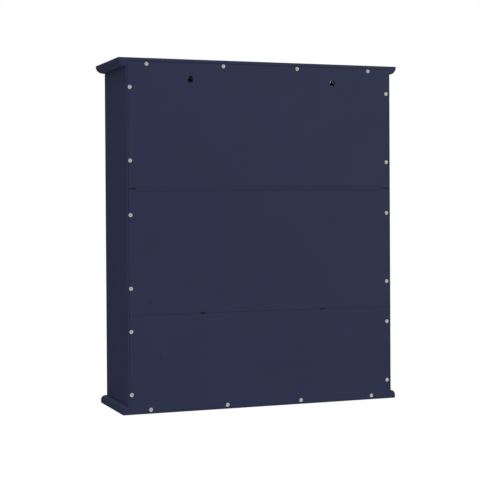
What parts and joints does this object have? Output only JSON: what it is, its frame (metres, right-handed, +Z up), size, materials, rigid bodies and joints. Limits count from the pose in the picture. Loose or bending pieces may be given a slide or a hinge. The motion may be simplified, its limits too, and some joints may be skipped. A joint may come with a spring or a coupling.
{
  "type": "bathroom wall cabinet",
  "caption": "Shallow wall-hung bathroom cabinet with moulded top and base, two hinged framed doors over an open shelf space, and a screwed-on panelled back.",
  "frame": {"origin": "on the plane of the back panels' outer faces, midway between the two keyhole slots, at the height of the wall screws' shanks once the cabinet hangs on them", "axes": "+X to the right as seen from the front, +Y into the wall, +Z up; the doors face -Y"},
  "size_m": [0.5368, 0.1757, 0.622],
  "materials": {
    "painted_board": "satin navy paint over fibreboard",
    "painted_hardboard": "satin navy paint over thin hardboard",
    "painted_door": "satin navy paint over fibreboard",
    "screw_nickel": "bright nickel plate",
    "hinge_nickel": "satin nickel plate",
    "knob_nickel": "satin nickel",
    "pin_nickel": "bright nickel plate",
    "plate_zinc": "bright zinc plate",
    "staple_steel": "dark lacquered wire",
    "strip_plastic": "extruded navy plastic",
    "catch_plastic": "moulded white plastic"
  },
  "bodies": {
    "carcass": {"back_joint_strip": "strip_plastic", "back_panel_bottom": "painted_hardboard", "back_panel_middle": "painted_hardboard", "back_panel_top": "painted_hardboard", "back_screw_bottom_1": "screw_nickel", "back_screw_bottom_2": "screw_nickel", "back_screw_bottom_3": "screw_nickel", "back_screw_bottom_4": "screw_nickel", "back_screw_left_1": "screw_nickel", "back_screw_left_2": "screw_nickel", "back_screw_left_3": "screw_nickel", "back_screw_left_4": "screw_nickel", "back_screw_left_5": "screw_nickel", "back_screw_left_6": "screw_nickel", "back_screw_right_1": "screw_nickel", "back_screw_right_2": "screw_nickel", "back_screw_right_3": "screw_nickel", "back_screw_right_4": "screw_nickel", "back_screw_right_5": "screw_nickel", "back_screw_right_6": "screw_nickel", "back_screw_top_1": "screw_nickel", "back_screw_top_2": "screw_nickel", "back_screw_top_3": "screw_nickel", "back_screw_top_4": "screw_nickel", "base_board": "painted_board", "fixed_shelf": "painted_board", "hanging_rail": "painted_board", "hinge_left_lower_case_leaf": "hinge_nickel", "hinge_left_lower_pin": "hinge_nickel", "hinge_left_upper_case_leaf": "hinge_nickel", "hinge_left_upper_pin": "hinge_nickel", "hinge_right_lower_case_leaf": "hinge_nickel", "hinge_right_lower_pin": "hinge_nickel", "hinge_right_upper_case_leaf": "hinge_nickel", "hinge_right_upper_pin": "hinge_nickel", "keyhole_plate_left": "plate_zinc", "keyhole_plate_right": "plate_zinc", "loose_shelf": "painted_board", "magnetic_catch": "catch_plastic", "shelf_pin_left_back": "pin_nickel", "shelf_pin_left_front": "pin_nickel", "shelf_pin_right_back": "pin_nickel", "shelf_pin_right_front": "pin_nickel", "shelf_staple_left": "staple_steel", "shelf_staple_right": "staple_steel", "side_panel_left": "painted_board", "side_panel_right": "painted_board", "top_board": "painted_board"},
    "door_left": {"door_frame_left": "painted_door", "door_panel_left": "painted_door", "hinge_left_lower_door_leaf": "hinge_nickel", "hinge_left_upper_door_leaf": "hinge_nickel", "knob_left": "knob_nickel", "strike_plate_left": "plate_zinc"},
    "door_right": {"door_frame_right": "painted_door", "door_panel_right": "painted_door", "hinge_right_lower_door_leaf": "hinge_nickel", "hinge_right_upper_door_leaf": "hinge_nickel", "knob_right": "knob_nickel", "strike_plate_right": "plate_zinc"}
  },
  "joints": [
    {"name": "door_left_hinge", "type": "hinge", "parent": "carcass", "child": "door_left", "pos_m": [-0.23835, -0.1504, -0.19625], "axis": [0, 0, -1], "range_deg": [0, 165]},
    {"name": "door_right_hinge", "type": "hinge", "parent": "carcass", "child": "door_right", "pos_m": [0.23835, -0.1504, -0.19625], "axis": [0, 0, 1], "range_deg": [0, 165]}
  ]
}
